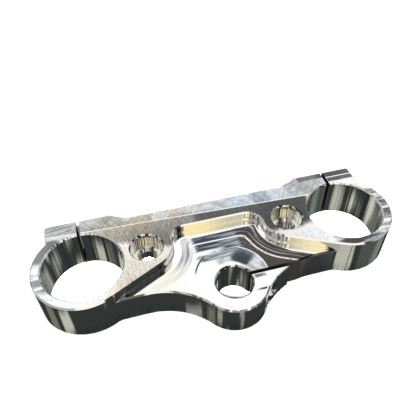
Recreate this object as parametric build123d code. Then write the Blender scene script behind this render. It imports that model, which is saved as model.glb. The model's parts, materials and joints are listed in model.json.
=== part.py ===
from build123d import *

import math
import os

# Upper triple clamp of a motorcycle fork: one piece milled from aluminium plate.
# Millimetres. The origin is on the steering-stem axis at the underside, X runs across the forks,
# Y from the stem towards the forks, Z up.

# Forks and their split rings
fork_spacing = 189.0
fork_offset = 34.5
fork_bore_d = 54.0
ring_wall = 6.75
height = 30.5
slit_width = 2.5

# Steering stem, the nose around it and the ear its pinch screw pulls in
stem_bore_d = 25.0
nose_wall = 10.5
nose_blend_r = 50.0
stem_slit_y = 3.5
ear_relief_width = 12.3
ear_relief_depth = 0.4

# Near wall of the centre, set back from the near side of the rings
near_setback = 4.85
ring_blend_r = 12.0

# Far bar, and the pinch blocks that stand out of it
block_depth = 14.0
block_half_width = 23.0
block_step = 6.0
block_foot = 9.0
block_corner_r = 2.0
bar_width = 19.0

# Recess in the top between the handlebar-mount lands
recess_depth = 7.1
recess_corner_r = 11.0
recess_foot_r = 2.5
shoulder_step = 0.2

# Handlebar-mount holes, each with a seat in the top
bar_fork_wall = 5.5
bar_mount_ahead = 3.8
bar_seat_d = 22.0
bar_seat_depth = 7.5
bar_hole_d = 12.0
bar_land_wall = 7.0

# Lightening pockets in the underside
pocket_depth = 12.0
pocket_near_wall = 7.4
pocket_far_wall = 9.0
pocket_ring_gap = 0.75
pocket_stem_wall = 15.5
pocket_corner_r = 4.0
pocket_roof_r = 2.0

# Pinch screws of the rings, two to a ring
pinch_land = 6.0
pinch_edge = 8.0
pinch_clear_d = 6.6
pinch_head_d = 11.0
pinch_head_depth = 6.0
pinch_tap_d = 5.0
pinch_tap_depth = 18.0

# Pinch screw of the stem
stem_screw_land = 11.5
stem_clear_d = 8.4
stem_head_d = 16.0
stem_ear = 5.2
stem_tap_d = 6.8
stem_tap_depth = 18.0

# Edges and drill points
edge_chamfer = 1.0
hole_chamfer = 0.6
bottom_chamfer = 0.6
drill_point_angle = 118.0

# Sizes that follow from the ones above
fork_x = fork_spacing / 2
fork_r = fork_bore_d / 2
ring_r = fork_r + ring_wall
stem_r = stem_bore_d / 2
nose_r = stem_r + nose_wall
near_y = fork_offset - ring_r + near_setback
block_y = fork_offset + fork_r + block_depth
block_in_x = fork_x - block_half_width
block_out_x = fork_x + block_half_width
bar_y = block_y - block_step
recess_y = bar_y - bar_width
floor_z = height - recess_depth
seat_z = height - bar_seat_depth
mount_x = fork_x - fork_r - bar_fork_wall - bar_seat_d / 2
mount_y = fork_offset + bar_mount_ahead
boss_r = bar_seat_d / 2 + bar_land_wall
ring_corner_x = fork_x - math.sqrt(ring_r**2 - (fork_offset - near_y) ** 2)
blend_drop = nose_blend_r - near_y
blend_x = math.sqrt((nose_blend_r + nose_r) ** 2 - blend_drop**2)
ear_y = stem_slit_y - slit_width / 2
clear_of_part = 2 * height
tiny = 0.01


def arc_about(centre, radius, first, last):
    """Arc about centre from first to last, the short way round."""
    middle = (Vector(*first) + Vector(*last)) / 2 - Vector(*centre)
    return ThreePointArc(first, Vector(*centre) + middle.normalized() * radius, last)


def both_sides(shape):
    """The shape together with its mirror image across the stem."""
    return shape + mirror(shape, about=Plane.YZ)


def plan_outline():
    """Outline of the clamp seen from above, without its holes and with sharp block corners."""
    share = nose_r / (nose_blend_r + nose_r)
    on_nose = (blend_x * share, -blend_drop * share)
    on_near_wall = (blend_x, near_y)
    edge = Polyline(
        (0, 0),
        (0, bar_y),
        (block_in_x - block_foot, bar_y),
        (block_in_x, block_y),
        (block_out_x, block_y),
        (block_out_x, fork_offset),
        (fork_x, near_y),
        on_near_wall,
    )
    edge += arc_about((blend_x, -blend_drop), nose_blend_r, on_near_wall, on_nose)
    edge += Line(on_nose, (0, 0))
    ring = Pos(fork_x, fork_offset) * Circle(ring_r)
    outline = both_sides(make_face(edge) + ring) + Circle(nose_r)
    near_corners = outline.vertices().filter_by(lambda v: abs(v.Y - near_y) < tiny)
    ring_corners = near_corners.filter_by(lambda v: abs(abs(v.X) - ring_corner_x) < tiny)
    return fillet(ring_corners, ring_blend_r)


def recess_outline():
    """Outline of the recess: walls round the mount bosses, shoulders that run on to the rings."""
    corner_y = recess_y - recess_corner_r
    reach = recess_corner_r + boss_r
    corner_x = mount_x - math.sqrt(reach**2 - (mount_y - corner_y) ** 2)
    share = recess_corner_r / reach
    on_boss = (corner_x + (mount_x - corner_x) * share, corner_y + (mount_y - corner_y) * share)
    to_ring = Vector(fork_x - mount_x, fork_offset - mount_y)
    widening = math.asin((ring_r + shoulder_step - boss_r) / to_ring.length)
    along = to_ring.normalized().rotate(Axis.Z, -math.degrees(widening))
    outward = along.rotate(Axis.Z, -90)
    leave = Vector(mount_x, mount_y) + outward * boss_r
    end = leave + along * fork_x
    open_y = end.Y - clear_of_part
    edge = Line((0, recess_y), (corner_x, recess_y))
    edge += arc_about((corner_x, corner_y), recess_corner_r, (corner_x, recess_y), on_boss)
    edge += arc_about((mount_x, mount_y), boss_r, on_boss, (leave.X, leave.Y))
    edge += Polyline(leave, end, (end.X, open_y), (0, open_y), (0, recess_y))
    return both_sides(make_face(edge))


def recess_cut(outline):
    """Cutter of the recess, with a rounded foot and a sloped edge where it opens to the near side."""
    field = recess_outline()
    cutter = Pos(0, 0, floor_z) * extrude(field, clear_of_part)
    foot = cutter.edges().group_by(Axis.Z)[0].filter_by(lambda e: e.center().Y > -nose_r)
    slope = edge_chamfer + recess_foot_r
    plate = extrude(outline, floor_z + recess_foot_r)
    plate = chamfer(plate.edges().group_by(Axis.Z)[-1], slope)
    edge = Pos(0, 0, floor_z - edge_chamfer) * extrude(field, slope) - plate
    return fillet(foot, recess_foot_r) + edge


def underside_pocket():
    """Cutter of the right lightening pocket: follows the ring, the far bar and the near wall."""
    low = near_y + pocket_near_wall
    high = bar_y - pocket_far_wall
    left = stem_r + pocket_stem_wall
    field = Pos((left + fork_x) / 2, (low + high) / 2) * Rectangle(fork_x - left, high - low)
    field -= Pos(fork_x, fork_offset) * Circle(ring_r + pocket_ring_gap)
    pocket = extrude(fillet(field.vertices(), pocket_corner_r), pocket_depth)
    return fillet(pocket.edges().group_by(Axis.Z)[-1], pocket_roof_r)


def drill(diameter, start, direction, depth, point=False):
    """Round cutter that goes in at start along direction, with a drill point if asked."""
    from_start = (Align.CENTER, Align.CENTER, Align.MIN)
    radius = diameter / 2
    cutter = Cylinder(radius, depth, align=from_start)
    if point:
        tip = radius / math.tan(math.radians(drill_point_angle / 2))
        cutter += Pos(0, 0, depth) * Cone(radius, 0, tip, align=from_start)
    return Plane(origin=start, z_dir=direction) * cutter


def upright_holes():
    """Bores and seats on the right that stand upright: the fork and the handlebar mount."""
    below = -clear_of_part
    holes = drill(fork_bore_d, (fork_x, fork_offset, below), (0, 0, 1), 2 * clear_of_part)
    holes += drill(bar_hole_d, (mount_x, mount_y, below), (0, 0, 1), 2 * clear_of_part)
    return holes + drill(bar_seat_d, (mount_x, mount_y, seat_z), (0, 0, 1), clear_of_part)


def ring_cuts():
    """Slit and pinch-screw holes of the right ring."""
    slit_length = block_y - fork_offset + clear_of_part
    slit_middle = Pos(fork_x, fork_offset + slit_length / 2, height / 2)
    cuts = slit_middle * Box(slit_width, slit_length, clear_of_part)
    screw_y = fork_offset + fork_r + pinch_land
    seat_x = block_out_x - pinch_head_depth
    for screw_z in (pinch_edge, height - pinch_edge):
        cuts += drill(pinch_head_d, (seat_x, screw_y, screw_z), (1, 0, 0), clear_of_part)
        cuts += drill(pinch_clear_d, (fork_x, screw_y, screw_z), (1, 0, 0), clear_of_part)
        cuts += drill(pinch_tap_d, (fork_x, screw_y, screw_z), (-1, 0, 0), pinch_tap_depth, point=True)
    return cuts


def stem_cuts():
    """Slit of the stem, its pinch-screw hole and the relief in the top of its ear."""
    cuts = Pos(blend_x / 2, stem_slit_y, height / 2) * Box(blend_x, slit_width, clear_of_part)
    screw_x = stem_r + stem_screw_land
    screw_z = floor_z / 2
    cuts += drill(stem_head_d, (screw_x, ear_y - stem_ear, screw_z), (0, -1, 0), clear_of_part)
    cuts += drill(stem_clear_d, (screw_x, stem_slit_y, screw_z), (0, -1, 0), clear_of_part)
    cuts += drill(stem_tap_d, (screw_x, stem_slit_y, screw_z), (0, 1, 0), stem_tap_depth, point=True)
    relief = Box(blend_x, ear_relief_width, clear_of_part, align=(Align.MIN, Align.MAX, Align.MIN))
    return cuts + Pos(0, ear_y, floor_z - ear_relief_depth) * relief


def flat_edges(body, level):
    """Edges of the body that lie level at one height."""
    near_level = body.edges().filter_by(lambda e: abs(e.center().Z - level) < tiny)
    return near_level.filter_by(lambda e: e.bounding_box().size.Z < tiny)


def triple_clamp():
    """The whole clamp as one solid."""
    outline = plan_outline()
    block_corners = outline.vertices().filter_by(lambda v: v.Y > bar_y - tiny)
    body = extrude(fillet(block_corners, block_corner_r), height) - recess_cut(outline)
    body -= both_sides(upright_holes() + underside_pocket())
    body -= drill(stem_bore_d, (0, 0, -clear_of_part), (0, 0, 1), 2 * clear_of_part)
    body = chamfer(flat_edges(body, height), edge_chamfer)
    stem_rim = flat_edges(body, floor_z).filter_by(lambda e: abs(e.length - math.pi * stem_bore_d) < tiny)
    body = chamfer(stem_rim, edge_chamfer)
    hole_rims = flat_edges(body, seat_z).filter_by(lambda e: e.bounding_box().size.X < bar_seat_d - tiny)
    body = chamfer(hole_rims, hole_chamfer)
    body = chamfer(flat_edges(body, 0), bottom_chamfer)
    return body - both_sides(ring_cuts()) - stem_cuts()


os.makedirs("parts", exist_ok=True)
export_step(triple_clamp(), "parts/triple_clamp.step")
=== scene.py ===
"""Looks of a motorcycle triple clamp: bare milled aluminium in a soft studio.

Lengths in the finishes are millimetres on the clamp itself. Objects are in metres.
"""

import json
import logging
import math
from dataclasses import dataclass, field
from enum import Enum
from typing import Any, Sequence

import bmesh
import bpy
from mathutils import Matrix, Vector

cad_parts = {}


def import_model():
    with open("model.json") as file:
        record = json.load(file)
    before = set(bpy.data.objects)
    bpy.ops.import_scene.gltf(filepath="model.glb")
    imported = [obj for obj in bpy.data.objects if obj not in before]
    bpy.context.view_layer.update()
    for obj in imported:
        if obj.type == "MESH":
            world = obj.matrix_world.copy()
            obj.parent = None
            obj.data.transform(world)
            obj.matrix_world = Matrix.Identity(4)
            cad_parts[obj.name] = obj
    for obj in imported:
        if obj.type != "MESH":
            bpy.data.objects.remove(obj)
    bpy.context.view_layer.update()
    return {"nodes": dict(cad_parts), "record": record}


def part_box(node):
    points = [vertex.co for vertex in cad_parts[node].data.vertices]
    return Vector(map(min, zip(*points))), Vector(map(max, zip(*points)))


LOG = logging.getLogger("triple_clamp")
MM_PER_M = 1000.0

# A signal is a node output or a constant in its place.
Colour = tuple[float, float, float]
Output = bpy.types.NodeSocket
Signal = Any


class Zone(Enum):
    """Kinds of surface that are finished unlike the milled walls."""

    TOP = "faced top"
    FLOOR = "recess floor"
    EDGE = "broken edge"


@dataclass
class Sheet:
    """A node tree under construction.

    Args:
        tree: The node tree that receives the nodes.
    """

    tree: bpy.types.NodeTree

    def node(self, kind: str, **settings: Any) -> bpy.types.Node:
        """Add a node.

        Args:
            kind: The node's type name.
            settings: Properties to set on it.

        Returns:
            The new node.
        """
        made = self.tree.nodes.new(kind)
        for name, value in settings.items():
            setattr(made, name, value)
        return made

    def first(self, kind: str) -> bpy.types.Node:
        """The node of a kind that the tree came with."""
        return next(n for n in self.tree.nodes if n.type == kind)

    def feed(self, socket: bpy.types.NodeSocket, signal: Signal) -> None:
        """Give a socket a constant or link an output to it.

        Args:
            socket: The socket.
            signal: The constant or the output.
        """
        if isinstance(signal, bpy.types.NodeSocket):
            self.tree.links.new(signal, socket)
        elif isinstance(signal, tuple) and socket.type == "RGBA":
            socket.default_value = (*signal, 1.0)
        else:
            socket.default_value = signal

    def maths(self, operation: str, *signals: Signal) -> Output:
        """Combine numbers.

        Args:
            operation: The operation's name, such as "ADD".
            signals: Its inputs, each a number or an output.

        Returns:
            The result's output.
        """
        made = self.node("ShaderNodeMath", operation=operation)
        for socket, signal in zip(made.inputs, signals):
            self.feed(socket, signal)
        return made.outputs[0]

    def _chain(self, operation: str, signals: Sequence[Signal]) -> Signal:
        """Combine any number of numbers, one after the other.

        Args:
            operation: The operation's name.
            signals: The numbers.

        Returns:
            The last result.
        """
        result = signals[0]
        for signal in signals[1:]:
            result = self.maths(operation, result, signal)
        return result

    def times(self, *signals: Signal) -> Signal:
        """Multiply numbers together."""
        return self._chain("MULTIPLY", signals)

    def plus(self, *signals: Signal) -> Signal:
        """Add numbers together."""
        return self._chain("ADD", signals)

    def most(self, *signals: Signal) -> Signal:
        """Take the largest of some numbers."""
        return self._chain("MAXIMUM", signals)

    def minus(self, first: Signal, second: Signal) -> Output:
        """Take the second number from the first."""
        return self.maths("SUBTRACT", first, second)

    def flip(self, signal: Signal) -> Output:
        """One minus a number."""
        return self.minus(1.0, signal)

    def size(self, signal: Signal) -> Output:
        """A number without its sign."""
        return self.maths("ABSOLUTE", signal)

    def ease(self, signal: Signal, low: float, high: float, start: float = 0.0, stop: float = 1.0) -> Output:
        """Rise smoothly between two values of a number.

        Args:
            signal: The number.
            low: Where the rise begins.
            high: Where it ends.
            start: Result at the beginning.
            stop: Result at the end.

        Returns:
            The eased number.
        """
        made = self.node("ShaderNodeMapRange", interpolation_type="SMOOTHSTEP")
        names = ("Value", "From Min", "From Max", "To Min", "To Max")
        for name, value in zip(names, (signal, low, high, start, stop)):
            self.feed(made.inputs[name], value)
        return made.outputs["Result"]

    def band(self, signal: Signal, centre: float, half: float, soft: float) -> Output:
        """One inside a stretch of a number, falling softly to zero outside it."""
        return self.ease(self.size(self.minus(signal, centre)), half + soft, half)

    def mix(self, share: Signal, first: Signal, second: Signal) -> Output:
        """Mix two colours.

        Args:
            share: Share of the second colour.
            first: First colour.
            second: Second colour.

        Returns:
            The mixed colour.
        """
        made = self.node("ShaderNodeMix", data_type="RGBA")
        for index, signal in ((0, share), (6, first), (7, second)):
            self.feed(made.inputs[index], signal)
        return made.outputs[2]

    def blend(self, share: Signal, first: Signal, second: Signal) -> Output:
        """Mix two numbers.

        Args:
            share: Share of the second number.
            first: First number.
            second: Second number.

        Returns:
            The mixed number.
        """
        made = self.node("ShaderNodeMix", data_type="FLOAT")
        for index, signal in ((0, share), (2, first), (3, second)):
            self.feed(made.inputs[index], signal)
        return made.outputs[0]

    def vector(self, x: Signal, y: Signal, z: Signal) -> Output:
        """Put three numbers together.

        Args:
            x: First number.
            y: Second number.
            z: Third number.

        Returns:
            The vector.
        """
        made = self.node("ShaderNodeCombineXYZ")
        for socket, signal in zip(made.inputs, (x, y, z)):
            self.feed(socket, signal)
        return made.outputs[0]

    def split(self, vector: Signal) -> tuple[Output, ...]:
        """Take a vector apart.

        Args:
            vector: The vector.

        Returns:
            Its three numbers.
        """
        made = self.node("ShaderNodeSeparateXYZ")
        self.feed(made.inputs[0], vector)
        return tuple(made.outputs)

    def noise(self, vector: Signal, scale: float, detail: float = 2.0, distortion: float = 0.0) -> Output:
        """Soft random number over a vector.

        Args:
            vector: Where it is read.
            scale: Features per unit of the vector.
            detail: Octaves.
            distortion: How far the pattern is drawn about.

        Returns:
            A number about one half.
        """
        made = self.node("ShaderNodeTexNoise")
        names = ("Vector", "Scale", "Detail", "Distortion")
        for name, value in zip(names, (vector, scale, detail, distortion)):
            self.feed(made.inputs[name], value)
        return made.outputs["Fac"]


def new_material(name: str) -> tuple[bpy.types.Material, Sheet, bpy.types.Node]:
    """Start a material.

    Args:
        name: Its name.

    Returns:
        The material, its node tree and its shader.
    """
    made = bpy.data.materials.new(name)
    made.use_nodes = True
    sheet = Sheet(made.node_tree)
    return made, sheet, sheet.first("BSDF_PRINCIPLED")


def new_piece(name: str, shape: bmesh.types.BMesh, material: bpy.types.Material) -> bpy.types.Object:
    """Put a piece of the studio in the scene.

    Args:
        name: Its name.
        shape: Its shape, which is used up.
        material: Its material.

    Returns:
        The piece.
    """
    mesh = bpy.data.meshes.new(name)
    shape.to_mesh(mesh)
    shape.free()
    mesh.materials.append(material)
    made = bpy.data.objects.new(name, mesh)
    bpy.context.scene.collection.objects.link(made)
    return made


@dataclass
class Place:
    """Where a point of the clamp is, as node outputs in millimetres.

    Args:
        sheet: The node tree.
        clamp: The clamp's sizes.
    """

    sheet: Sheet
    clamp: "ForkClamp"

    def __post_init__(self) -> None:
        """Read the position and the normal in the clamp's own frame."""
        s = self.sheet
        coordinates = s.node("ShaderNodeTexCoord")
        scale = s.node("ShaderNodeVectorMath", operation="SCALE")
        s.feed(scale.inputs[0], coordinates.outputs["Object"])
        s.feed(scale.inputs["Scale"], MM_PER_M)
        self.point = scale.outputs[0]
        self.x, self.y, self.z = s.split(self.point)
        self.nx, self.ny, self.nz = s.split(coordinates.outputs["Normal"])
        self.side = s.size(self.x)
        self.plan = s.vector(self.x, self.y, 0.0)

    def from_axis(self, x: float, y: float, mirrored: bool = False) -> Output:
        """Distance from an upright axis.

        Args:
            x: Place of the axis across the forks.
            y: Place of the axis along the clamp.
            mirrored: Whether the axis stands on both sides.

        Returns:
            The distance.
        """
        s = self.sheet
        dx = s.minus(self.side if mirrored else self.x, x)
        dy = s.minus(self.y, y)
        return s.maths("SQRT", s.plus(s.times(dx, dx), s.times(dy, dy)))

    def from_stem(self) -> Output:
        """Distance from the axis of the stem."""
        return self.from_axis(0.0, 0.0)

    def from_fork(self) -> Output:
        """Distance from the axis of the fork on the same side."""
        return self.from_axis(self.clamp.fork_x, self.clamp.fork_y, mirrored=True)

    def from_mount(self) -> Output:
        """Distance from the axis of the handlebar mount on the same side."""
        return self.from_axis(self.clamp.mount_x, self.clamp.mount_y, mirrored=True)

    def from_recess_wall(self) -> Output:
        """Distance on the recess floor from the wall round it.

        Returns:
            The distance, negative outside the recess.
        """
        s, c = self.sheet, self.clamp
        leave, along, outward = c.shoulder()
        dx = s.minus(self.side, leave.x)
        dy = s.minus(self.y, leave.y)
        run = s.plus(s.times(dx, along.x), s.times(dy, along.y))
        off = s.plus(s.times(dx, outward.x), s.times(dy, outward.y))
        boss = s.minus(self.from_mount(), c.boss_r)
        beside = s.blend(s.maths("GREATER_THAN", run, 0.0), boss, off)
        return s.maths("SMOOTH_MIN", beside, s.minus(c.recess_y, self.y), c.recess_blend)

    def zone(self, zone: Zone) -> Output:
        """Mask of one kind of surface.

        Args:
            zone: The kind of surface.

        Returns:
            One on it and zero elsewhere.
        """
        s = self.sheet
        level = s.ease(self.nz, 0.95, 0.985)
        if zone is Zone.EDGE:
            return s.times(s.ease(s.size(self.nz), 0.2, 0.4), s.flip(level))
        high = s.ease(self.z, self.clamp.height - 0.6, self.clamp.height - 0.2)
        return s.times(level, high if zone is Zone.TOP else s.flip(high))


@dataclass(frozen=True)
class Look:
    """What a finish gives at a point, as node outputs or constants.

    Args:
        colour: Colour of the metal.
        roughness: How far it scatters.
        height: Height of the cutter marks, in millimetres.
        lean: How far the cut leans to the near side, as a slope.
    """

    colour: Signal
    roughness: Signal
    height: Signal
    lean: Signal = 0.0


@dataclass(frozen=True)
class FacedTop:
    """Top face, faced off in straight passes whose cuts lean a little differently.

    Args:
        metal: Colour of the metal.
        warm_reflection: Painted yellowish reflection on the left of the top face.
        cool_reflection: Painted bluish reflection on the far pass on the right.
        scuffed: Colour of the finest scratches.
        lane_start: One end of the line between two passes.
        lane_end: The other end of that line.
        steepest: Lean of the dullest pass.
        cutter_y: Middle of the facing cutter's way.
        cutter_r: Radius of the facing cutter.
    """

    metal: Colour = (0.93, 0.94, 0.95)
    warm_reflection: Colour = (0.92, 0.85, 0.70)
    cool_reflection: Colour = (0.82, 0.91, 1.0)
    scuffed: Colour = (0.55, 0.55, 0.56)
    lane_start: tuple[float, float] = (-117.0, 64.3)
    lane_end: tuple[float, float] = (73.0, 55.3)
    steepest: float = 0.23
    cutter_y: float = 30.0
    cutter_r: float = 64.0

    def look(self, place: Place) -> Look:
        """Build the finish.

        Args:
            place: Where the point is.

        Returns:
            The look of the face.
        """
        s, p = place.sheet, place
        (start_x, start_y), (end_x, end_y) = self.lane_start, self.lane_end
        slope = (end_y - start_y) / (end_x - start_x)
        past = s.minus(p.y, s.plus(s.times(s.minus(p.x, start_x), slope), start_y))
        near = s.ease(past, 0.3, -0.3)
        far = s.flip(near)
        cloud = s.noise(p.point, 0.06, 3.0, 0.8)
        grain = s.noise(p.point, 1.2, 3.0, 0.5)
        drift = s.plus(p.y, s.times(s.minus(cloud, 0.5), 12.0))
        slant = s.plus(drift, s.times(s.plus(p.x, 51.0), 0.33))
        near_right = s.times(
            near,
            s.ease(p.x, -40.0, -6.0, 0.0, 0.9),
            s.ease(drift, 18.0, 34.0),
            s.ease(p.x, 80.0, 70.0),
            s.ease(p.x, 20.0, 55.0, 1.0, 1.2),
        )
        near_left = s.times(near, s.ease(p.x, -2.0, -18.0), s.ease(slant, 33.0, 43.0), 0.73)
        lands = s.times(near, s.band(p.side, 46.0, 24.0, 10.0), s.ease(p.x, 0.0, 20.0, 0.34, 0.45))
        far_pass = s.times(
            far,
            s.ease(cloud, 0.35, 0.65, 0.60, 0.70),
            s.ease(p.side, 50.0, 74.0, 1.0, 1.26),
            s.ease(p.x, 98.0, 92.0),
        )
        far_patch = s.times(far, s.band(p.x, 40.0, 4.0, 14.0), 0.78)
        lean = s.most(near_right, near_left, lands, far_pass, far_patch, self._blocks(p), self._rims(p))
        scratches = s.plus(
            s.times(self._hatch(p), s.ease(p.x, -40.0, -80.0, 0.10, 0.15)),
            s.times(s.minus(grain, 0.5), 0.10),
        )
        lean = s.plus(s.times(lean, self.steepest), scratches)
        block_step = s.times(s.ease(p.x, 94.0, 96.0), s.band(p.y, 68.9, 0.25, 0.3))
        lean = s.times(lean, s.flip(s.most(s.band(past, 0.0, 0.2, 0.3), block_step)))
        # Painted yellowish reflection on the left part of the top face and at its tip.
        left_warm_reflection = s.times(
            s.ease(p.x, 0.0, -40.0), s.ease(p.x, -92.0, -74.0), s.ease(cloud, 0.35, 0.6, 0.4, 1.0)
        )
        tip_warm_reflection = s.times(s.band(p.x, -70.0, 8.0, 8.0), s.ease(p.y, 22.0, 14.0))
        colour = s.mix(s.most(left_warm_reflection, tip_warm_reflection), self.metal, self.warm_reflection)
        # Painted bluish reflection on the far pass of the top face.
        colour = s.mix(s.times(far, s.band(p.x, 36.0, 12.0, 24.0)), colour, self.cool_reflection)
        colour = s.mix(s.times(s.ease(grain, 0.50, 0.75), 0.22), colour, self.scuffed)
        return Look(colour, s.ease(grain, 0.3, 0.7, 0.10, 0.17), s.times(grain, 0.012), lean)

    def _hatch(self, place: Place) -> Output:
        """Crossing arcs that the facing cutter leaves on its way.

        Args:
            place: Where the point is.

        Returns:
            A number about zero.
        """
        s, p = place.sheet, place
        off = s.minus(p.y, self.cutter_y)
        reach = s.maths("SQRT", s.minus(self.cutter_r**2, s.times(off, off)))
        slow = s.times(p.y, 0.04)
        lead = s.noise(s.vector(s.times(s.minus(p.x, reach), 0.8), slow, 0.0), 1.0, 3.0)
        trail = s.noise(s.vector(s.times(s.plus(p.x, reach), 0.8), slow, 9.0), 1.0, 3.0)
        return s.minus(s.times(s.plus(lead, trail), 0.5), 0.5)

    def _blocks(self, place: Place) -> Output:
        """Streaks on the left pinch block, and strips on the right one.

        Args:
            place: Where the point is.

        Returns:
            Their lean, as a share of the steepest.
        """
        s, p = place.sheet, place
        across = s.times(s.plus(p.y, s.times(p.x, -0.15)), 0.5)
        drawn = s.noise(s.vector(across, s.times(p.x, 0.05), 7.0), 1.0, 3.0, 0.6)
        streaks = s.ease(drawn, 0.38, 0.60, 0.60, 1.10)
        left = s.times(s.ease(p.x, -92.0, -100.0), s.ease(p.y, 60.0, 66.0), streaks)
        strip = s.times(s.ease(p.x, 70.0, 74.0), s.ease(p.x, 84.0, 96.0, 1.05, 1.25))
        right_far = s.times(strip, s.ease(p.y, 69.2, 69.8))
        right_end = s.times(s.ease(p.x, 93.0, 97.0), s.ease(p.y, 62.0, 65.0), 1.2)
        return s.most(left, right_far, right_end)

    def _rims(self, place: Place) -> Output:
        """Streaks across the outer rims of the rings.

        Args:
            place: Where the point is.

        Returns:
            Their lean, as a share of the steepest.
        """
        s, p = place.sheet, place
        streak = s.noise(s.vector(s.times(p.y, 0.28), s.times(p.x, 0.03), 3.0), 1.0, 3.0, 0.5)
        left = s.times(s.ease(p.x, -106.0, -118.0), s.ease(p.y, 8.0, 18.0), s.ease(streak, 0.40, 0.60), 0.95)
        far = s.times(s.ease(p.y, 38.0, 46.0), s.ease(p.y, 64.0, 60.0))
        left_far = s.times(s.ease(p.x, -100.0, -112.0), far, 1.25)
        right = s.times(
            s.ease(p.x, 68.0, 84.0),
            s.ease(p.y, 64.0, 52.0),
            s.ease(streak, 0.34, 0.58, 0.60, 1.25),
            s.ease(p.y, 44.0, 54.0, 1.0, 0.7),
        )
        return s.most(left, left_far, right)


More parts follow.
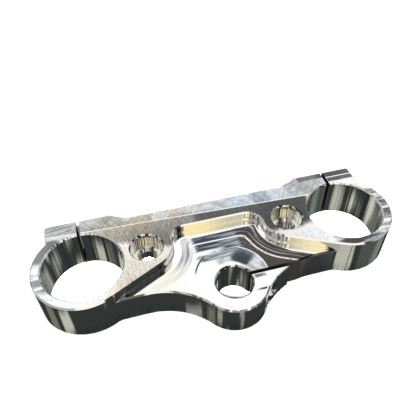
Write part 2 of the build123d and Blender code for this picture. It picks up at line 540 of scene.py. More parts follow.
@dataclass(frozen=True)
class RecessFloor:
    """Recess floor, milled in passes that follow its wall and a round one about the stem.

    Args:
        metal: Colour of the metal.
        brown_reflection: Painted brownish reflection in the outer pass on the right.
        blue_reflection: Painted bluish reflection behind the middle.
        cream_reflection: Painted pale yellow reflection near the left shoulder.
        pass_width: How far the outer pass reaches from the wall.
        round_y: Centre of the round pass.
        round_r: Radius of the round pass.
        steepest: Lean of the dullest pass.
    """

    metal: Colour = (0.95, 0.95, 0.96)
    brown_reflection: Colour = (0.90, 0.84, 0.74)
    blue_reflection: Colour = (0.74, 0.84, 1.0)
    cream_reflection: Colour = (0.96, 0.94, 0.85)
    pass_width: float = 13.7
    round_y: float = 4.8
    round_r: float = 24.5
    steepest: float = 0.23

    def look(self, place: Place) -> Look:
        """Build the finish.

        Args:
            place: Where the point is.

        Returns:
            The look of the floor.
        """
        s, p = place.sheet, place
        wall = p.from_recess_wall()
        stem = p.from_axis(0.0, self.round_y)
        inside = s.ease(wall, -0.6, -0.2)
        drift = s.times(s.plus(p.x, p.y), 0.03)
        streak = s.noise(s.vector(s.times(wall, 0.55), drift, 0.0), 1.0, 3.0, 0.3)
        fine = s.noise(s.vector(s.times(wall, 2.2), s.times(drift, 2.0), 0.0), 1.0, 2.0)
        grain = s.noise(p.point, 0.8, 2.0, 0.5)
        outer = s.ease(wall, self.pass_width + 0.4, self.pass_width - 0.4)
        circle = s.ease(stem, self.round_r + 0.4, self.round_r - 0.4)
        right = s.ease(p.x, 6.0, 16.0)
        beyond = s.ease(p.y, 3.5, 4.5)
        mirror = s.ease(p.x, 36.0, 46.0, 3.2, 5.6)
        clear = s.times(s.ease(s.minus(wall, mirror), 0.0, 1.4), s.ease(p.y, 44.8, 43.2))
        right_band = s.times(outer, right, beyond, clear, s.ease(streak, 0.66, 0.46, 0.45, 1.0))
        left_band = s.times(
            outer,
            s.ease(p.x, -14.0, -24.0),
            s.ease(streak, 0.38, 0.66, 0.30, 0.52),
            s.ease(p.y, 4.0, 34.0, 0.3, 1.2),
            s.ease(wall, 3.0, 7.0),
        )
        between = s.times(s.flip(outer), s.flip(circle), right, beyond, s.ease(grain, 0.35, 0.65, 0.66, 0.90))
        left_arc = s.times(s.ease(p.x, -12.0, -15.0), s.ease(p.y, 7.0, 20.0, 0.0, 0.85))
        arc = s.times(s.band(stem, self.round_r, 0.30, 0.60), left_arc)
        wedge, pale = (s.times(circle, mark) for mark in self._round_pass(p, stem, beyond))
        rows = self._rows(p)
        lean = s.most(right_band, left_band, between, wedge, pale, rows, arc, self._ear(p, grain))
        scatter = s.times(s.minus(fine, 0.5), s.blend(s.times(right, beyond, clear), 0.04, 0.12))
        lean = s.times(inside, s.plus(s.times(lean, self.steepest), scatter))
        wall_line = s.times(s.band(wall, self.pass_width, 0.30, 0.70), s.ease(grain, 0.40, 0.50))
        witness = s.most(wall_line, s.band(stem, self.round_r, 0.15, 0.35))
        lean = s.times(lean, s.flip(s.times(witness, right)))
        # Painted pale yellow reflection on the floor near the left shoulder.
        cream_reflection_share = s.times(s.ease(p.x, -20.0, -42.0), s.ease(p.y, 30.0, 16.0))
        colour = s.mix(cream_reflection_share, self.metal, self.cream_reflection)
        # Painted brownish reflection in the outer pass on the right and between the passes.
        colour = s.mix(s.times(s.most(right_band, between), inside), colour, self.brown_reflection)
        # Painted bluish reflection in the wedge of the round pass and in the rows behind it.
        colour = s.mix(s.times(s.most(wedge, rows), inside), colour, self.blue_reflection)
        return Look(colour, s.ease(grain, 0.3, 0.7, 0.06, 0.14), s.times(fine, 0.006), lean)

    def _round_pass(self, place: Place, stem: Output, beyond: Output) -> tuple[Output, Output]:
        """Dark wedge and pale sector of the round pass.

        Args:
            place: Where the point is.
            stem: Distance from the centre of the pass.
            beyond: One on the far side of the slit, and zero on the near side.

        Returns:
            The lean of the two, as a share of the steepest.
        """
        s, p = place.sheet, place
        cloud = s.noise(p.point, 0.09, 3.0, 1.0)
        turn = s.maths("ARCTAN2", s.minus(p.y, self.round_y), p.x)
        sector = s.times(s.ease(turn, 0.20, 0.68), s.ease(turn, 1.80, 1.00))
        wedge = s.times(sector, s.ease(stem, 9.5, 13.5), s.ease(stem, 13.5, 25.0, 0.86, 0.58))
        wide = s.times(s.band(turn, 0.95, 0.95, 0.5), beyond)
        return wedge, s.times(wide, s.ease(stem, 9.0, 13.0), s.ease(cloud, 0.35, 0.65, 0.36, 0.48))

    def _rows(self, place: Place) -> Output:
        """Straight rows that clear the floor between the round pass and the far wall.

        Args:
            place: Where the point is.

        Returns:
            Their lean, as a share of the steepest.
        """
        s, p = place.sheet, place
        sweep = s.noise(s.vector(s.times(p.y, 0.55), s.times(p.x, 0.05), 5.0), 1.0, 3.0, 0.4)
        right_end = s.ease(s.minus(s.ease(p.y, 36.0, 38.0, 19.0, 27.0), p.x), 0.0, 4.0)
        left_end = s.ease(s.plus(p.x, s.times(s.minus(sweep, 0.5), 14.0)), -22.0, -17.0)
        cleared = s.times(right_end, left_end, s.ease(p.y, 19.4, 21.2), s.ease(p.y, 44.0, 42.8))
        left_gap = s.times(s.band(p.y, 27.8, 0.8, 1.6), s.ease(p.x, 4.0, -12.0))
        gap = s.times(s.most(s.band(p.y, 36.7, 0.2, 0.6), left_gap), 0.8)
        dullness = s.times(s.ease(p.y, 20.0, 40.0, 0.56, 0.86), s.ease(sweep, 0.36, 0.62, 1.04, 0.72))
        return s.times(cleared, s.flip(gap), dullness)

    def _ear(self, place: Place, grain: Output) -> Output:
        """Dull line along the relief of the stem ear, and a smudge beside its slit.

        Args:
            place: Where the point is.
            grain: Fine random number over the floor.

        Returns:
            Their lean, as a share of the steepest.
        """
        s, p = place.sheet, place
        line = s.times(s.ease(p.x, 9.0, 17.0), s.band(p.y, -10.2, 0.4, 1.1), 0.6)
        beside_slit = s.times(s.ease(p.x, 12.5, 14.5), s.ease(p.x, 25.0, 20.0), s.band(p.y, 0.4, 0.9, 1.2))
        return s.most(line, s.times(beside_slit, s.ease(grain, 0.35, 0.6, 0.4, 0.56)))


@dataclass(frozen=True)
class MilledWall:
    """Upright walls and bores, with upright chatter and fine level tool lines.

    Args:
        metal: Colour of the metal.
        chatter_and_reflection: Colour of the dark stripes along the foot and in the bores, chatter marks in
            part and painted reflection in part.
        groove_and_reflection: Colour of the dark stripes in the handlebar-mount seats and round them, tool
            marks in part and painted dark reflection in part.
        ring_slit_shade: Painted shade inside the slits of the rings.
        stem_slit_shade: Painted shade inside the slit of the stem.
        broad: Broad chatter marks per millimetre along the wall.
        ticks: Marks per millimetre in the handlebar-mount seats and the bores.
        comb: Fine chatter marks per millimetre.
        lines: Tool lines per millimetre of height.
    """

    metal: Colour = (0.87, 0.885, 0.87)
    chatter_and_reflection: Colour = (0.36, 0.37, 0.36)
    groove_and_reflection: Colour = (0.16, 0.14, 0.11)
    ring_slit_shade: Colour = (0.07, 0.07, 0.065)
    stem_slit_shade: Colour = (0.21, 0.20, 0.18)
    broad: float = 0.36
    ticks: float = 0.55
    comb: float = 1.3
    lines: float = 1.5

    def look(self, place: Place) -> Look:
        """Build the finish.

        Args:
            place: Where the point is.

        Returns:
            The look of the wall.
        """
        s, p, c = place.sheet, place, place.clamp
        fork_bores = s.ease(p.from_fork(), c.fork_r + 3.0, c.fork_r + 2.0)
        bores = s.most(fork_bores, s.ease(p.from_stem(), c.stem_r + 3.5, c.stem_r + 2.5))
        seats = s.ease(p.from_mount(), c.seat_r + 2.0, c.seat_r + 1.5)
        round_seats = self._round_seats(p, seats)
        recess = s.times(round_seats, s.ease(p.x, -4.0, 4.0, 0.04, 1.0))
        ticks = s.noise(p.plan, self.ticks, 1.0)
        teeth = s.noise(p.plan, self.comb, 1.0)
        depth = s.plus(s.blend(bores, 0.015, 0.20), s.times(recess, 0.45))
        broad = s.plus(s.times(s.noise(p.plan, self.broad, 3.0), depth), s.times(ticks, seats, 1.1))
        comb = s.times(teeth, s.blend(bores, 0.008, 0.04))
        level = s.times(s.noise(s.vector(0.0, 0.0, p.z), self.lines, 2.0), 0.012)
        foot = s.times(s.ease(p.z, 12.0, 4.0), s.flip(bores), s.ease(teeth, 0.44, 0.60), 0.5)
        drawn = s.times(bores, s.ease(s.noise(p.plan, self.ticks, 2.0), 0.50, 0.60), 0.6)
        striped = s.times(round_seats, s.ease(s.noise(p.plan, self.broad, 1.0), 0.50, 0.56))
        grooves_and_reflection = s.most(striped, s.times(seats, s.ease(ticks, 0.53, 0.60)))
        ring_slit, stem_slit = self._slits(p)
        # Dark stripes near the foot of the walls and in the bores: chatter marks in part, painted reflection
        # in part.
        colour = s.mix(s.most(foot, drawn), self.metal, self.chatter_and_reflection)
        # Dark stripes round the mount bosses, in the seats and in the far corners: tool marks in part,
        # painted dark reflection in part.
        colour = s.mix(s.times(grooves_and_reflection, 0.8), colour, self.groove_and_reflection)
        # The walls inside the slits are painted in shade.
        colour = s.mix(stem_slit, s.mix(ring_slit, colour, self.ring_slit_shade), self.stem_slit_shade)
        rough = s.blend(s.most(ring_slit, stem_slit), s.ease(broad, 0.0, 0.2, 0.05, 0.09), 0.55)
        return Look(colour, rough, s.plus(broad, comb, level))

    def _round_seats(self, place: Place, seats: Output) -> Output:
        """Mask of the recess wall round the mount bosses and in its far corners.

        Args:
            place: Where the point is.
            seats: Mask of the handlebar-mount seats.

        Returns:
            One on it and zero elsewhere.
        """
        s, p, c = place.sheet, place, place.clamp
        boss = s.times(s.ease(p.from_mount(), c.boss_r + 0.5, c.boss_r + 0.2), s.flip(seats))
        before_wall = s.ease(p.y, c.recess_y + 0.4, c.recess_y + 0.2)
        corner = s.times(s.band(p.side, 27.5, 5.0, 1.0), s.ease(p.y, 40.0, 41.0), before_wall)
        return s.times(s.ease(p.z, c.floor_z - 0.8, c.floor_z - 0.2), s.most(boss, corner))

    def _slits(self, place: Place) -> tuple[Output, Output]:
        """Masks of the walls in the slits.

        Args:
            place: Where the point is.

        Returns:
            A mask for the rings and one for the stem.
        """
        s, p, c = place.sheet, place, place.clamp
        along = s.ease(s.size(p.nx), 0.94, 0.97)
        across = s.ease(s.size(p.ny), 0.94, 0.97)
        beyond_bore = s.ease(p.y, c.fork_y + 20.0, c.fork_y + 21.0)
        off_middle = s.size(s.minus(p.y, c.stem_slit_y))
        rings = s.times(s.band(p.side, c.fork_x, 1.6, 0.1), beyond_bore, along)
        return rings, s.times(s.band(off_middle, 1.25, 0.06, 0.06), s.ease(p.x, 8.0, 9.0), across)


@dataclass(frozen=True)
class BrokenEdge:
    """Chamfers and rounded feet, bright, with the chatter of the last light cut.

    Args:
        metal: Colour of the metal.
        edge_dark_reflection: Painted dark reflection on the edge at the ends of the recess, and in dashes
            round the holes.
        chatter: Chatter marks per millimetre along the edge.
        dashes: Dark dashes per millimetre.
    """

    metal: Colour = (0.96, 0.95, 0.93)
    edge_dark_reflection: Colour = (0.06, 0.06, 0.055)
    chatter: float = 0.45
    dashes: float = 0.30

    def look(self, place: Place) -> Look:
        """Build the finish.

        Args:
            place: Where the point is.

        Returns:
            The look of the edge.
        """
        s, p, c = place.sheet, place, place.clamp
        seats = s.ease(p.from_mount(), c.seat_r + 2.5, c.seat_r + 1.5)
        dashed = s.most(seats, s.ease(p.from_stem(), c.stem_r + 3.5, c.stem_r + 2.5))
        holes = s.most(dashed, s.ease(p.from_fork(), c.fork_r + 2.5, c.fork_r + 1.5))
        marks = s.noise(p.plan, self.chatter, 1.0)
        at_nose = s.times(s.ease(p.y, 1.0, -1.0), s.ease(p.side, 32.0, 28.0))
        nose = s.times(at_nose, s.band(p.z, c.floor_z - 0.5, 1.0, 0.2), 0.75)
        dashes = s.times(s.most(dashed, nose), s.ease(s.noise(p.plan, self.dashes, 1.0), 0.49, 0.53))
        ends = s.most(s.ease(p.x, 36.0, 42.0), s.ease(p.x, -57.0, -60.0))
        at_floor = s.band(p.z, c.floor_z, 2.6, 0.2)
        opening = s.times(s.ease(p.y, 8.5, 7.5), at_floor, s.ease(p.side, 78.0, 74.0))
        # The edge at the ends of the recess and the dashes round the holes are painted as dark reflection.
        colour = s.mix(s.most(dashes, s.times(ends, opening, 0.9)), self.metal, self.edge_dark_reflection)
        return Look(colour, s.ease(marks, 0.3, 0.7, 0.06, 0.14), s.times(marks, s.blend(holes, 0.02, 0.80)))

    def foot(self, place: Place) -> Output:
        """Mask of the recess wall's foot, except round the right handlebar mount.

        Args:
            place: Where the point is.

        Returns:
            One on it and zero elsewhere.
        """
        s, p, c = place.sheet, place, place.clamp
        low = s.times(
            s.ease(p.z, c.floor_z - 0.6, c.floor_z - 0.2), s.ease(p.z, c.floor_z + 3.2, c.floor_z + 2.8)
        )
        before_wall = s.ease(p.y, c.recess_y + 0.7, c.recess_y + 0.3)
        far = s.times(s.ease(p.y, 41.0, 42.0), before_wall, s.ease(p.side, 36.0, 35.0))
        shoulder = s.times(s.ease(p.x, 44.0, 45.0), s.ease(p.y, 34.0, 33.0))
        off_left_seat = s.ease(p.from_axis(-c.mount_x, c.mount_y), c.seat_r + 1.5, c.seat_r + 2.5)
        left = s.times(s.ease(p.x, -20.0, -21.0), off_left_seat)
        return s.times(low, s.most(far, shoulder, left))


@dataclass(frozen=True)
class SeatMouth:
    """Floor of the handlebar-mount seats, and the mouth of their hole with its radial marks.

    Args:
        metal: Colour of the floor, with a painted yellowish reflection in it.
        mark: Colour of the radial marks, painted as dark reflection.
        floor_r: How far the floor reaches from the axis.
        radius: How far the mouth reaches from the axis.
        depth: How far it goes down the hole.
        marks: How closely the marks are set round it.
    """

    metal: Colour = (0.79, 0.76, 0.67)
    mark: Colour = (0.12, 0.11, 0.09)
    floor_r: float = 10.8
    radius: float = 7.3
    depth: float = 5.0
    marks: float = 2.6

    def inward(self, place: Place) -> tuple[Output, Output, Output]:
        """Where the mouth is and which way it faces.

        Args:
            place: Where the point is.

        Returns:
            A mask of the mouth, and the two level numbers of the direction to its axis.
        """
        s, p, c = place.sheet, place, place.clamp
        off = p.from_mount()
        bottom = c.seat_z - self.depth
        above = s.ease(p.z, bottom - 0.4, bottom + 0.4)
        mask = s.times(s.ease(off, self.radius, self.radius - 0.3), above)
        across = s.times(s.maths("SIGN", p.x), s.maths("DIVIDE", s.minus(c.mount_x, p.side), off))
        return mask, across, s.maths("DIVIDE", s.minus(c.mount_y, p.y), off)

    def colour(self, place: Place, metal: Signal) -> Output:
        """Colour the floor, with a painted yellowish reflection, and paint the radial marks on the mouth as
        dark reflection.

        Args:
            place: Where the point is.
            metal: Colour of the metal elsewhere.

        Returns:
            The colour with the floor and the marks.
        """
        s, p, seat_z = place.sheet, place, place.clamp.seat_z
        mask, across, along = self.inward(p)
        within = s.ease(p.from_mount(), self.floor_r, self.floor_r - 0.2)
        floor = s.times(within, s.ease(p.z, seat_z - 1.0, seat_z - 0.6))
        marks = s.noise(s.vector(across, along, s.maths("SIGN", p.x)), self.marks, 1.0)
        # Painted yellowish reflection on the seat floor, and radial marks painted as dark reflection in the
        # mouth.
        return s.mix(s.times(mask, s.ease(marks, 0.50, 0.55)), s.mix(floor, metal, self.metal), self.mark)


@dataclass(frozen=True)
class MachinedAluminium:
    """Bare aluminium that shows what each cutter left, with painted reflections and painted shade in its
    colour.

    Args:
        top: Finish of the top face.
        floor: Finish of the recess floor.
        wall: Finish of upright walls and bores.
        edge: Finish of broken edges.
        mouth: Finish of the handlebar-mount seats' floor and hole.
        lean_way: Level direction that the leaning cuts face.
        mark_depth: Depth of a cutter mark of height one, in metres.
    """

    top: FacedTop = FacedTop()
    floor: RecessFloor = RecessFloor()
    wall: MilledWall = MilledWall()
    edge: BrokenEdge = BrokenEdge()
    mouth: SeatMouth = SeatMouth()
    lean_way: tuple[float, float] = (-0.35, -0.94)
    mark_depth: float = 0.001

    def material(self, clamp: "ForkClamp") -> bpy.types.Material:
        """Build the material.

        Args:
            clamp: The clamp's sizes.

        Returns:
            The material.
        """
        made, sheet, shader = new_material("machined_aluminium")
        place = Place(sheet, clamp)
        base = self.wall.look(place)
        colour, roughness, height, lean = base.colour, base.roughness, base.height, base.lean
        for zone, finish in ((Zone.EDGE, self.edge), (Zone.FLOOR, self.floor), (Zone.TOP, self.top)):
            mask = place.zone(zone)
            look = finish.look(place)
            colour = sheet.mix(mask, colour, look.colour)
            roughness = sheet.blend(mask, roughness, look.roughness)
            height = sheet.blend(mask, height, look.height)
            lean = sheet.blend(mask, lean, look.lean)
        bump = sheet.node("ShaderNodeBump")
        bump.inputs["Strength"].default_value = 1.0
        bump.inputs["Distance"].default_value = self.mark_depth
        sheet.feed(bump.inputs["Height"], height)
        sheet.feed(bump.inputs["Normal"], self._leaning(place, lean))
        sheet.feed(shader.inputs["Base Color"], self.mouth.colour(place, colour))
        sheet.feed(shader.inputs["Roughness"], roughness)
        sheet.feed(shader.inputs["Normal"], bump.outputs["Normal"])
        shader.inputs["Metallic"].default_value = 1.0
        return made

    def _leaning(self, place: Place, lean: Signal) -> Output:
        """Lean the surface normal to the near side, and sharpen the foot of the recess wall.

        Args:
            place: Where the point is.
            lean: The slope.

        Returns:
            The leaning normal.
        """
        s = place.sheet
        foot = self.edge.foot(place)
        mouth, across, along = self.mouth.inward(place)
        upper = s.ease(place.nz, 0.69, 0.72)
        level = s.times(s.flip(s.times(foot, upper)), s.flip(mouth))
        upright = s.flip(s.times(foot, s.flip(upper)))
        to_right = s.plus(s.times(mouth, across), s.times(lean, self.lean_way[0]))
        to_far = s.plus(s.times(mouth, along), s.times(lean, self.lean_way[1]))
        scale = s.node("ShaderNodeVectorMath", operation="MULTIPLY")
        s.feed(scale.inputs[0], s.node("ShaderNodeNewGeometry").outputs["Normal"])
        s.feed(scale.inputs[1], s.vector(level, level, upright))
        add = s.node("ShaderNodeVectorMath", operation="ADD")
        s.feed(add.inputs[0], scale.outputs[0])
        s.feed(add.inputs[1], s.vector(to_right, to_far, mouth))
        unit = s.node("ShaderNodeVectorMath", operation="NORMALIZE")
        s.feed(unit.inputs[0], add.outputs[0])
        return unit.outputs[0]


@dataclass
class ForkClamp:
    """The clamp itself: where its holes are, and how it is dressed.

    Args:
        record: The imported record, whose mounts give the holes.
        land_wall: Metal round the handlebar-mount seats.
        ring_wall: Metal round the fork bores, with the step at the shoulders.
        recess_y: Far wall of the recess.
        recess_depth: Depth of the recess floor below the top.
        seat_depth: Depth of the handlebar-mount seats below the top.
        recess_blend: How widely the passes along the recess walls round its corners.
        stem_slit_y: Middle of the slit of the stem.
        finish: The finish of the metal.
    """

    record: dict[str, Any]
    land_wall: float = 7.0
    ring_wall: float = 6.95
    recess_y: float = 50.5
    recess_depth: float = 7.1
    seat_depth: float = 7.5
    recess_blend: float = 10.0
    stem_slit_y: float = 3.5
    finish: MachinedAluminium = field(default_factory=MachinedAluminium)

    def __post_init__(self) -> None:
        """Read the holes from the record."""
        mounts = {m["name"]: m for m in self.record["mounts"]}
        stem, fork, seat = (mounts[name] for name in ("stem_bore", "right_fork_bore", "right_bar_seat"))
        self.stem_r, self.fork_r, self.seat_r = (m["dims"]["r_mm"] for m in (stem, fork, seat))
        self.fork_x, self.fork_y = (value * MM_PER_M for value in fork["pos_m"][:2])
        self.mount_x, self.mount_y = (value * MM_PER_M for value in seat["pos_m"][:2])
        self.boss_r = self.seat_r + self.land_wall
        self.ring_r = self.fork_r + self.ring_wall
        self.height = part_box("triple_clamp")[1].z * MM_PER_M
        self.floor_z = self.height - self.recess_depth
        self.seat_z = self.height - self.seat_depth

    def shoulder(self) -> tuple[Vector, Vector, Vector]:
        """Line of the recess shoulder on the right.

        Returns:
            Where it leaves the mount boss, its direction, and the direction into the recess.
        """
        to_ring = Vector((self.fork_x - self.mount_x, self.fork_y - self.mount_y))
        turn = math.asin((self.ring_r - self.boss_r) / to_ring.length)
        along = to_ring.normalized()
        along.rotate(Matrix.Rotation(-turn, 2))
        outward = Vector((along.y, -along.x))
        return Vector((self.mount_x, self.mount_y)) + outward * self.boss_r, along, outward

    def dress(self, node: bpy.types.Object) -> None:
        """Put the finish on the clamp.

        Args:
            node: The clamp's object.
        """
        material = self.finish.material(self)
        for slot in node.material_slots:
            slot.material = material


@dataclass(frozen=True)
class SoftCard:
    """A soft light card, or a dark one, that hangs round the studio.

    Args:
        azimuth: Degrees from the far side, turning to the right.
        half_width: Degrees to each side.
        low: Lower edge, in degrees above the floor.
        high: Upper edge.
        soft: Degrees over which it fades.
        colour: Its light.
    """

    azimuth: float
    half_width: float
    low: float
    high: float
    soft: float
    colour: Colour

    def mask(self, sheet: Sheet, around: Output, up: Output) -> Output:
        """Mask of the card.

        Args:
            sheet: The node tree.
            around: Direction about the upright, in radians from the far side.
            up: Height of the direction, in radians.

        Returns:
            One on it and zero elsewhere.
        """
        off = sheet.minus(around, math.radians(self.azimuth))
        off = sheet.size(sheet.maths("WRAP", off, math.pi, -math.pi))
        half, soft = math.radians(self.half_width), math.radians(self.soft)
        middle = math.radians((self.low + self.high) / 2)
        tall = math.radians((self.high - self.low) / 2)
        return sheet.times(sheet.ease(off, half + soft, half), sheet.band(up, middle, tall, soft))


@dataclass(frozen=True)
class TableCard:
    """A light card that lies on the dark table.

    Args:
        centre: Where it lies, in millimetres from the stem.
        half_length: Half its length.
        half_width: Half its width.
        turn: Degrees that its length is turned from across the forks.
        soft: Millimetres over which it fades.
        colour: Its light.
    """

    centre: tuple[float, float]
    half_length: float
    half_width: float
    turn: float
    soft: float
    colour: Colour

    def mask(self, sheet: Sheet, x: Output, y: Output) -> Output:
        """Mask of the card.

        Args:
            sheet: The node tree.
            x: Place across the forks, in metres.
            y: Place along the clamp, in metres.

        Returns:
            One on it and zero elsewhere.
        """
        dx = sheet.minus(x, self.centre[0] / MM_PER_M)
        dy = sheet.minus(y, self.centre[1] / MM_PER_M)
        cos, sin = math.cos(math.radians(self.turn)), math.sin(math.radians(self.turn))
        along = sheet.plus(sheet.times(dx, cos), sheet.times(dy, sin))
        beside = sheet.minus(sheet.times(dy, cos), sheet.times(dx, sin))
        soft = self.soft / MM_PER_M
        length = sheet.band(along, 0.0, self.half_length / MM_PER_M, soft)
        return sheet.times(length, sheet.band(beside, 0.0, self.half_width / MM_PER_M, soft))


@dataclass
class DarkTable:
    """Dark table with light cards, below the paper, that only the polished metal sees.

    Args:
        name: Its name.
        depth: How far it is below the clamp, in metres.
        centre: Its middle, in metres from the stem.
        half_size: Half its width, in metres.
        cards: The cards on it.
        cloth: Light of the bare table.
        hem: Light of the strips laid round its outer part.
        hem_start: How far from the stem they begin, in metres.
        hem_full: How far from the stem they reach their full light, in metres.
        strips: How closely they are set.
    """

    name: str
    depth: float
    centre: tuple[float, float]
    half_size: float
    cards: Sequence[TableCard]
    cloth: Colour = (0.036, 0.040, 0.038)
    hem: Colour = (0.62, 0.63, 0.60)
    hem_start: float = 0.44
    hem_full: float = 0.75
    strips: float = 3.2

    def lay(self) -> bpy.types.Object:
        """Lay the table.

        Returns:
            The table.
        """
        shape = bmesh.new()
        bmesh.ops.create_grid(shape, x_segments=1, y_segments=1, size=self.half_size)
        bmesh.ops.translate(shape, verts=shape.verts, vec=(*self.centre, -self.depth))
        made = new_piece(self.name, shape, self._cards())
        made.visible_camera = made.visible_diffuse = made.visible_shadow = False
        return made

    def _cards(self) -> bpy.types.Material:
        """Build the cloth and the cards on it.

        Returns:
            The material.
        """
        made, sheet, shader = new_material(f"{self.name}_cards")
        x, y, _ = sheet.split(sheet.node("ShaderNodeTexCoord").outputs["Object"])
        out = sheet.maths("SQRT", sheet.plus(sheet.times(x, x), sheet.times(y, y)))
        around = sheet.vector(sheet.maths("DIVIDE", x, out), sheet.maths("DIVIDE", y, out), 0.0)
        strips = sheet.ease(sheet.noise(around, self.strips, 2.0), 0.36, 0.64, 0.12, 1.0)
        hemmed = sheet.times(strips, sheet.ease(out, self.hem_start, self.hem_full))
        colour = sheet.mix(hemmed, self.cloth, self.hem)
        for card in self.cards:
            colour = sheet.mix(card.mask(sheet, x, y), colour, card.colour)
        sheet.feed(shader.inputs["Emission Color"], colour)
        shader.inputs["Emission Strength"].default_value = 1.0
        shader.inputs["Base Color"].default_value = (0.0, 0.0, 0.0, 1.0)
        shader.inputs["Specular IOR Level"].default_value = 0.0
        return made


@dataclass(frozen=True)
class HoleLight:
    """A narrow light that reaches the paper through a hole of the clamp.

    Args:
        name: Its name.
        place: Where it hangs, in metres.
        target: What it points at.
        spread: Its whole angle, in degrees.
        power: Its power, in watts.
        bulb: Radius of its bulb, in metres.
        fade: Share of its angle over which it fades.
    """

    name: str
    place: tuple[float, float, float]
    target: tuple[float, float, float]
    spread: float
    power: float
    bulb: float = 0.004
    fade: float = 0.06

    def hang(self) -> bpy.types.Object:
        """Hang the light.

        Returns:
            The light.
        """
        lamp = bpy.data.lights.new(self.name, "SPOT")
        lamp.energy, lamp.shadow_soft_size = self.power, self.bulb
        lamp.spot_size, lamp.spot_blend = math.radians(self.spread), self.fade
        made = bpy.data.objects.new(self.name, lamp)
        made.location = self.place
        made.rotation_euler = (Vector(self.target) - Vector(self.place)).to_track_quat("-Z", "Y").to_euler()
        made.visible_glossy = False
        bpy.context.scene.collection.objects.link(made)
        return made


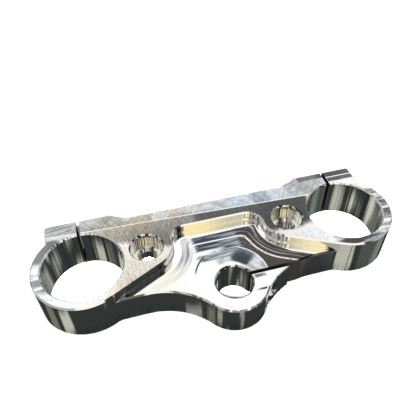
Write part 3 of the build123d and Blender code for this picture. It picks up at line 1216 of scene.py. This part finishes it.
@dataclass
class Studio:
    """Pale floor and backdrop, and the soft light round the clamp.

    Args:
        radius: Radius of the floor, in metres.
        segments: Sides of the floor and the backdrop.
        sunk: How far the backdrop reaches below the floor, in metres.
        matt: Share of the light that the floor gives back.
        slit_shade: Middle of the shade under the right ring's slit, in metres.
        slit_half: Half the width and half the length of that shade, in metres.
        slit_soft: How softly it ends, in metres.
        shade: Colour of the floor in it.
        key: Strength of the light from the front, which falls on the paper.
        key_angle: How wide that light is, in degrees.
        key_travel: Which way it goes.
        paper: Light of the backdrop.
        below: What the metal sees beyond the dark table.
        above: What it sees above.
        horizon: Degrees between which the one passes into the other.
        cards: The light and dark cards, later ones over earlier ones.
        hole_lights: Lights that reach the paper through the holes.
        tables: The dark tables below.
    """

    radius: float = 3.0
    segments: int = 96
    sunk: float = 0.05
    matt: float = 0.35
    slit_shade: tuple[float, float] = (0.0945, 0.0685)
    slit_half: tuple[float, float] = (0.0014, 0.0069)
    slit_soft: float = 0.0002
    shade: Colour = (0.01, 0.01, 0.01)
    key: float = 12.5
    key_angle: float = 5.0
    key_travel: tuple[float, float, float] = (0.170, 0.634, -0.755)
    paper: Colour = (1.0, 1.0, 1.0)
    below: Colour = (0.036, 0.040, 0.038)
    above: Colour = (0.74, 0.74, 0.73)
    horizon: tuple[float, float] = (-8.0, 4.0)
    cards: Sequence[SoftCard] = (
        SoftCard(180.0, 180.0, 43.0, 53.0, 3.0, (0.76, 0.71, 0.59)),
        SoftCard(180.0, 180.0, 8.0, 32.0, 5.0, (0.46, 0.46, 0.455)),
        SoftCard(0.0, 70.0, 37.5, 72.0, 6.0, (1.06, 1.06, 1.06)),
        SoftCard(30.0, 100.0, 70.0, 86.0, 13.0, (0.075, 0.075, 0.075)),
        SoftCard(-148.0, 4.0, 34.0, 60.0, 3.0, (0.08, 0.07, 0.06)),
        SoftCard(-128.0, 3.0, 34.0, 60.0, 3.0, (0.10, 0.09, 0.08)),
        SoftCard(-107.0, 3.0, 34.0, 60.0, 3.0, (0.10, 0.09, 0.08)),
        SoftCard(-76.0, 6.0, 34.0, 60.0, 4.0, (0.10, 0.09, 0.08)),
        SoftCard(132.0, 18.0, 28.0, 64.0, 6.0, (0.035, 0.038, 0.038)),
        SoftCard(180.0, 26.0, 18.0, 60.0, 4.0, (1.0, 0.98, 0.94)),
        SoftCard(158.0, 6.0, 45.4, 52.0, 3.0, (0.66, 0.61, 0.44)),
        SoftCard(171.0, 6.0, 45.4, 52.0, 3.0, (1.20, 0.98, 0.50)),
        SoftCard(-154.0, 4.5, 45.4, 52.0, 3.0, (0.56, 0.50, 0.39)),
        SoftCard(-165.0, 4.0, 45.4, 52.0, 4.0, (1.16, 0.98, 0.58)),
    )
    hole_lights: Sequence[HoleLight] = (
        HoleLight("left_bore_light", (-0.0945, 0.0345, 1.0), (-0.0945, 0.0345, 0.0), 3.05, 700.0),
        HoleLight("right_bore_light", (0.0945, 0.0345, 1.0), (0.0945, 0.0345, 0.0), 3.05, 700.0),
        HoleLight("stem_bore_light", (0.0103, 0.0258, 1.0), (0.0103, 0.0258, 0.0), 2.5, 700.0),
        HoleLight("left_seat_light", (-0.0637, -0.1696, 0.2792), (-0.051, 0.0383, 0.022), 4.0, 90.0),
    )
    tables: Sequence[DarkTable] = (
        DarkTable(
            "dark_table",
            0.3,
            (0.0, 0.0),
            2.5,
            (
                TableCard((353.0, -175.0), 90.0, 70.0, 0.0, 50.0, (0.085, 0.09, 0.085)),
                TableCard((80.0, -272.0), 70.0, 34.0, -10.0, 18.0, (0.52, 0.52, 0.44)),
                TableCard((-4.0, -264.0), 16.0, 24.0, 0.0, 14.0, (0.42, 0.42, 0.36)),
                TableCard((46.0, -205.0), 14.0, 6.0, 0.0, 12.0, (0.27, 0.27, 0.23)),
                TableCard((-187.0, -97.0), 26.0, 6.0, -60.0, 10.0, (0.34, 0.34, 0.29)),
                TableCard((-306.0, -78.0), 44.0, 14.0, -67.0, 12.0, (0.56, 0.56, 0.47)),
                TableCard((-195.0, 208.0), 56.0, 40.0, 0.0, 25.0, (0.64, 0.64, 0.54)),
                TableCard((-331.0, 65.0), 22.0, 34.0, 0.0, 18.0, (0.19, 0.19, 0.15)),
                TableCard((-200.0, -12.0), 12.0, 26.0, 0.0, 14.0, (0.17, 0.17, 0.14)),
                TableCard((-14.0, 312.0), 90.0, 36.0, 20.0, 20.0, (0.18, 0.18, 0.16)),
                TableCard((65.0, 208.0), 70.0, 20.0, -44.0, 14.0, (0.34, 0.35, 0.33)),
                TableCard((196.0, 108.0), 18.0, 22.0, 0.0, 14.0, (0.80, 0.80, 0.77)),
                TableCard((150.0, -12.0), 14.0, 52.0, 0.0, 12.0, (0.30, 0.31, 0.27)),
                TableCard((405.0, 0.0), 70.0, 60.0, 0.0, 30.0, (0.20, 0.22, 0.21)),
            ),
        ),
        DarkTable(
            "dark_shelf",
            0.2,
            (-0.069, -0.087),
            0.034,
            (TableCard((-69.0, -87.0), 12.0, 14.0, 38.0, 14.0, (0.72, 0.72, 0.62)),),
        ),
    )

    def floor(self) -> bpy.types.Object:
        """Lay the floor.

        Returns:
            The floor, a disc of paper.
        """
        shape = bmesh.new()
        bmesh.ops.create_circle(shape, cap_ends=True, segments=self.segments, radius=self.radius)
        paper = self._paper("floor_paper", self.matt, 0.0)
        self._shade(paper)
        made = new_piece("studio_floor", shape, paper)
        made.visible_glossy = made.visible_shadow = False
        return made

    def backdrop(self) -> bpy.types.Object:
        """Stand the backdrop round the floor.

        Returns:
            The backdrop, a tall ring that only the camera sees.
        """
        r = self.radius
        shape = bmesh.new()
        bmesh.ops.create_cone(shape, segments=self.segments, radius1=r, radius2=r, depth=2 * r)
        bmesh.ops.translate(shape, verts=shape.verts, vec=(0.0, 0.0, r - self.sunk))
        bmesh.ops.reverse_faces(shape, faces=shape.faces)
        made = new_piece("studio_backdrop", shape, self._paper("backdrop_paper", 0.0, 1.0))
        made.visible_glossy = made.visible_diffuse = made.visible_shadow = False
        return made

    def _paper(self, name: str, matt: float, glow: float) -> bpy.types.Material:
        """Pale paper.

        Args:
            name: The material's name.
            matt: Share of the studio's light that it gives back.
            glow: Light of its own.

        Returns:
            The material.
        """
        made, _, shader = new_material(name)
        shader.inputs["Base Color"].default_value = (matt, matt, matt, 1.0)
        shader.inputs["Roughness"].default_value = 1.0
        shader.inputs["Specular IOR Level"].default_value = 0.0
        shader.inputs["Emission Color"].default_value = (*self.paper, 1.0)
        shader.inputs["Emission Strength"].default_value = glow
        return made

    def _shade(self, paper: bpy.types.Material) -> None:
        """Shade the paper under the slits of the rings, where the light hardly reaches.

        Args:
            paper: The floor's material.
        """
        sheet = Sheet(paper.node_tree)
        x, y, _ = sheet.split(sheet.node("ShaderNodeTexCoord").outputs["Object"])
        across = sheet.band(sheet.size(x), self.slit_shade[0], self.slit_half[0], self.slit_soft)
        along = sheet.band(y, self.slit_shade[1], self.slit_half[1], self.slit_soft)
        colour = sheet.mix(sheet.times(across, along), (self.matt,) * 3, self.shade)
        sheet.feed(sheet.first("BSDF_PRINCIPLED").inputs["Base Color"], colour)

    def light(self) -> None:
        """Hang the soft light and the cards round the studio."""
        scene = bpy.context.scene
        scene.world = bpy.data.worlds.new("studio_light")
        scene.world.use_nodes = True
        sheet = Sheet(scene.world.node_tree)
        x, y, z = sheet.split(sheet.node("ShaderNodeTexCoord").outputs["Generated"])
        around = sheet.maths("ARCTAN2", x, y)
        up = sheet.maths("ARCSINE", z)
        low, high = (math.radians(degrees) for degrees in self.horizon)
        colour = sheet.mix(sheet.ease(up, low, high), self.below, self.above)
        for card in self.cards:
            colour = sheet.mix(card.mask(sheet, around, up), colour, card.colour)
        sheet.feed(sheet.first("BACKGROUND").inputs["Color"], colour)
        lamp = bpy.data.lights.new("front_key", "SUN")
        lamp.energy, lamp.angle = self.key, math.radians(self.key_angle)
        key = bpy.data.objects.new("front_key", lamp)
        key.rotation_euler = Vector(self.key_travel).to_track_quat("-Z", "Y").to_euler()
        key.visible_glossy = False
        scene.collection.objects.link(key)
        scene.view_settings.view_transform = "Standard"


@dataclass
class PhotoCamera:
    """Camera that sees the clamp as the photograph does.

    Args:
        place: Where it stands, in metres.
        azimuth: Degrees it is turned about the upright.
        elevation: Degrees it looks down.
        roll: Degrees it is turned about its own axis.
        lens: Focal length, in millimetres.
        frame_width: Width of the frame behind the lens, in millimetres.
        nearest: Nearest that it sees, in metres.
    """

    place: tuple[float, float, float] = (-0.063715, -0.169633, 0.279219)
    azimuth: float = -15.153
    elevation: float = 45.998
    roll: float = -0.5034
    lens: float = 40.92
    frame_width: float = 36.0
    nearest: float = 0.01

    def stand(self) -> bpy.types.Object:
        """Put the camera in the scene.

        Returns:
            The camera.
        """
        made = bpy.data.objects.new("photo_camera", bpy.data.cameras.new("photo_camera"))
        made.data.lens = self.lens
        made.data.sensor_width = self.frame_width
        made.data.clip_start = self.nearest
        made.data.dof.use_dof = False
        turn = Matrix.Rotation(math.radians(self.azimuth), 4, "Z")
        tilt = Matrix.Rotation(math.radians(90.0 - self.elevation), 4, "X")
        lean = Matrix.Rotation(math.radians(self.roll), 4, "Z")
        made.matrix_world = Matrix.Translation(self.place) @ turn @ tilt @ lean
        bpy.context.scene.collection.objects.link(made)
        bpy.context.scene.camera = made
        return made


def main() -> None:
    """Dress the clamp, build the studio and place the camera."""
    logging.basicConfig(level=logging.INFO)
    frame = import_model()
    clamp = ForkClamp(frame["record"])
    clamp.dress(frame["nodes"]["triple_clamp"])
    LOG.info("dressed triple_clamp")
    studio = Studio()
    pieces = [studio.floor(), studio.backdrop(), *(table.lay() for table in studio.tables)]
    studio.light()
    pieces.extend(lamp.hang() for lamp in studio.hole_lights)
    for piece in pieces:
        LOG.info("stood %s", piece.name)
    LOG.info("placed %s", PhotoCamera().stand().name)


if __name__ == "__main__":
    main()
